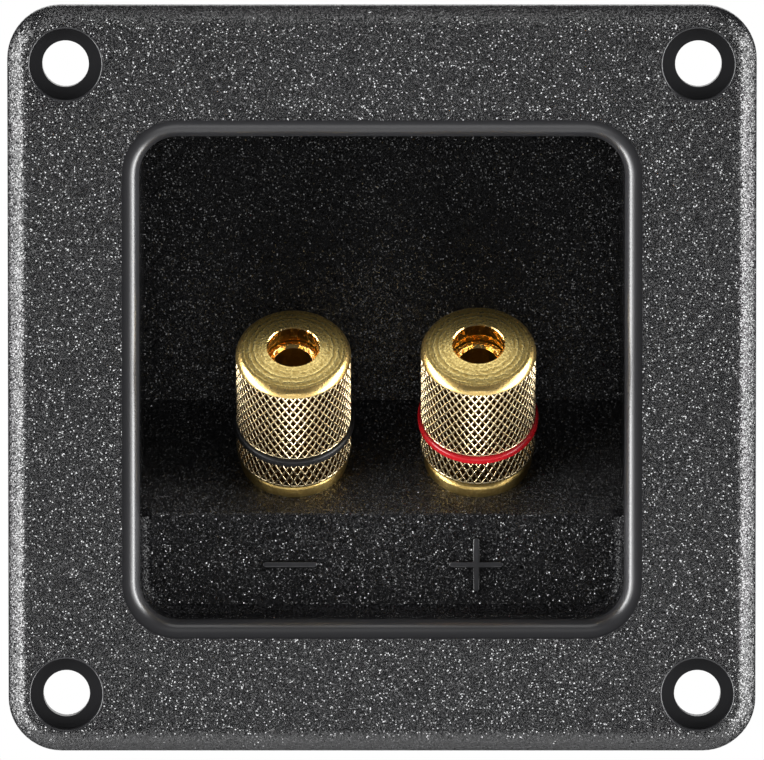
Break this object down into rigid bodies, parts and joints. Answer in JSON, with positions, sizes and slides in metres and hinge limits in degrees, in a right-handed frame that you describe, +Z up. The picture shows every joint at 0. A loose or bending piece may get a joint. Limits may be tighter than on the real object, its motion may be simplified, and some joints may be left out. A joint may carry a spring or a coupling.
{
  "type": "speaker terminal plate",
  "caption": "Square recessed speaker terminal plate whose well holds gold binding posts on a sloping shelf, with screw-down knurled knobs that clamp bare wire or take a 4 mm plug.",
  "frame": {"origin": "middle of the plate's back face, in the plane that lies on the cabinet, centred between the screw holes", "axes": "+X to the right seen from the front, +Y into the cabinet, +Z up; the front faces -Y"},
  "size_m": [0.077, 0.0264, 0.077],
  "materials": {
    "black_abs": "moulded black ABS with a fine spark-eroded texture, smooth on the lip and in the screw recesses",
    "gold_brass": "turned and knurled brass with bright gold plating",
    "black_ring": "moulded black plastic, semi-gloss",
    "red_ring": "moulded red plastic, glossy",
    "tinned_brass": "stamped brass with a bright tin coat"
  },
  "bodies": {
    "plate": {"housing": "black_abs", "negative_post": "gold_brass", "negative_washer": "gold_brass", "negative_nut": "gold_brass", "negative_tag": "tinned_brass", "negative_tag_nut": "gold_brass", "positive_post": "gold_brass", "positive_washer": "gold_brass", "positive_nut": "gold_brass", "positive_tag": "tinned_brass", "positive_tag_nut": "gold_brass"},
    "negative_ring": {"negative_ring": "black_ring"},
    "negative_knob": {"negative_knob": "gold_brass"},
    "positive_ring": {"positive_ring": "red_ring"},
    "positive_knob": {"positive_knob": "gold_brass"}
  },
  "joints": [
    {"name": "negative_slide", "type": "slide", "parent": "plate", "child": "negative_ring", "axis": [0, -0.682, 0.7314], "range_m": [0, 0.008]},
    {"name": "negative_screw", "type": "hinge", "parent": "negative_ring", "child": "negative_knob", "pos_m": [-0.00912, 0.00815, -0.00783], "axis": [0, -0.682, 0.7314], "range_deg": [0, 2880]},
    {"name": "positive_slide", "type": "slide", "parent": "plate", "child": "positive_ring", "axis": [0, -0.682, 0.7314], "range_m": [-0.00045, 0.00755]},
    {"name": "positive_screw", "type": "hinge", "parent": "positive_ring", "child": "positive_knob", "pos_m": [0.00992, 0.00815, -0.00783], "axis": [0, -0.682, 0.7314], "range_deg": [-162, 2718]}
  ],
  "couplings": [
    {"joint": "negative_slide", "follows": "negative_screw", "m_per_rad": 0.00015915},
    {"joint": "positive_slide", "follows": "positive_screw", "m_per_rad": 0.00015915}
  ]
}
